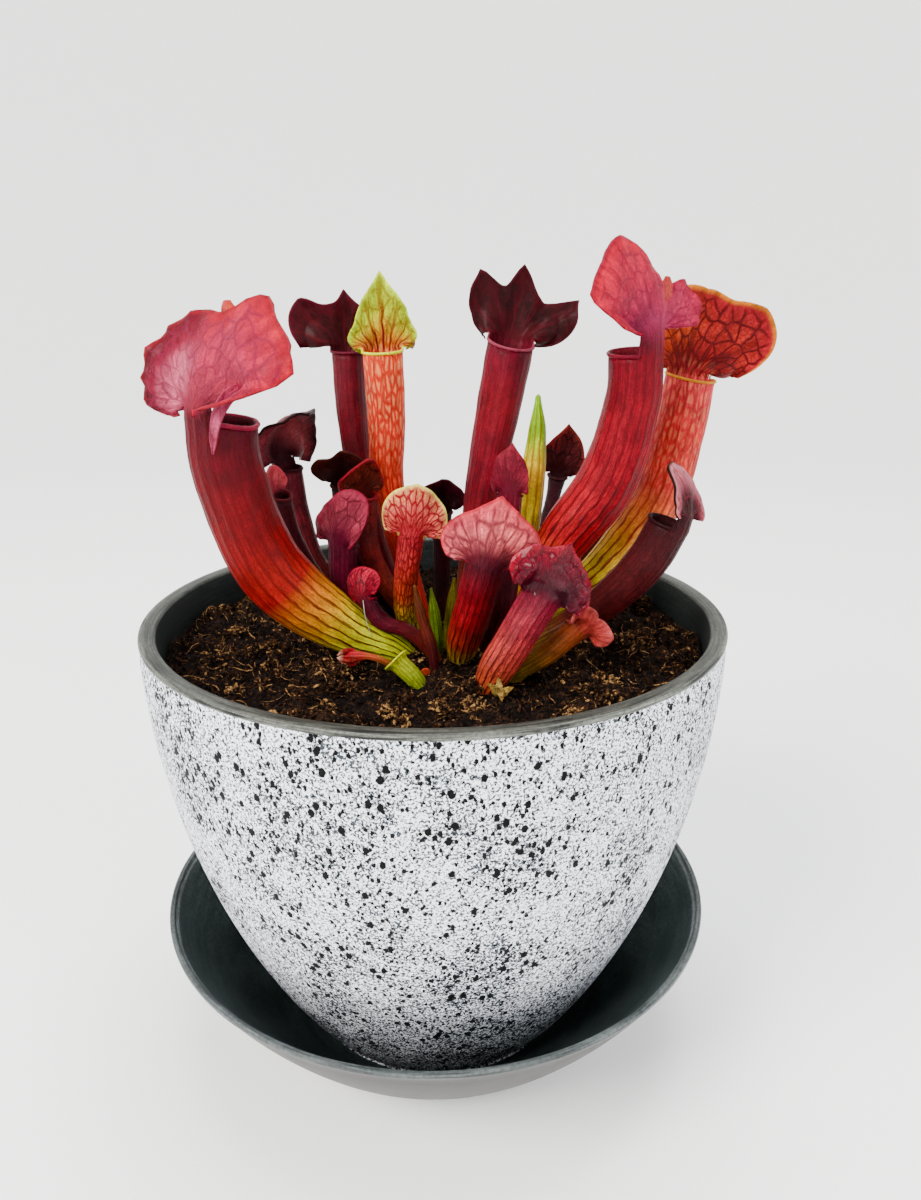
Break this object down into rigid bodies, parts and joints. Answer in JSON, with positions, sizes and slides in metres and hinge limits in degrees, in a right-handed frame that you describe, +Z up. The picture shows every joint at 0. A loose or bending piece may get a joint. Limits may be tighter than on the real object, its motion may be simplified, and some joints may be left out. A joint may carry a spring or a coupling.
{
  "type": "potted pitcher plant",
  "caption": "Bowl planter with a speckled finish on a deep saucer, filled with peat, with a clump of upright pitcher leaves whose waved hoods are netted with dark veins.",
  "frame": {"origin": "on the ground, under the middle of the saucer", "axes": "+Z up, -Y towards the viewer in front of the pot, +X to the viewer's right"},
  "size_m": [0.2199, 0.201, 0.2907],
  "materials": {
    "pot_speckled": "pale blue-grey satin coat with grey grain and black speckles over a dark grey body",
    "saucer_speckled": "the same speckled coat outside, nearly black and damp inside",
    "peat": "moist dark brown peat crumbs with tan fibres",
    "leaf_crimson": "satin living leaf, crimson with a pale bloom and dark net veins",
    "leaf_orange": "satin living leaf, orange and yellow cells in a dark red net",
    "leaf_yellow": "satin living leaf, yellow-green with red veins",
    "leaf_maroon": "satin living leaf, deep maroon",
    "leaf_pink": "satin living leaf, pale pink and cream with a mauve net",
    "leaf_glossy": "glossy living leaf, puffy purple-pink",
    "leaf_brown": "satin living leaf, nearly black brown-red",
    "leaf_red": "satin living leaf, red",
    "leaf_green": "satin living leaf, yellow-green with fine red veins"
  },
  "bodies": {
    "root": {"pot": "pot_speckled", "saucer": "saucer_speckled", "soil": "peat", "pitcher_left_large": "leaf_crimson", "pitcher_right_tall": "leaf_crimson", "pitcher_right_orange": "leaf_orange", "pitcher_right_hooked": "leaf_maroon", "pitcher_back_centre": "leaf_maroon", "pitcher_back_yellow": "leaf_yellow", "pitcher_back_left": "leaf_maroon", "pitcher_front_pink": "leaf_pink", "pitcher_front_glossy": "leaf_glossy", "pitcher_front_net": "leaf_pink", "pitcher_left_dark": "leaf_maroon", "pitcher_left_small": "leaf_pink", "pitcher_brown": "leaf_brown", "pitcher_netted": "leaf_brown", "pitcher_purple": "leaf_glossy", "pitcher_black": "leaf_brown", "pitcher_wine": "leaf_maroon", "pitcher_back_right": "leaf_maroon", "pitcher_right_stub": "leaf_brown", "pitcher_front_dark": "leaf_maroon", "pitcher_front_low": "leaf_pink", "pitcher_front_curled": "leaf_red", "pitcher_cut": "leaf_green", "pitcher_unopened": "leaf_green", "flower_bud": "leaf_red", "stalk_green": "leaf_green", "stalk_orange": "leaf_red", "leaf_young": "leaf_green"}
  },
  "joints": []
}
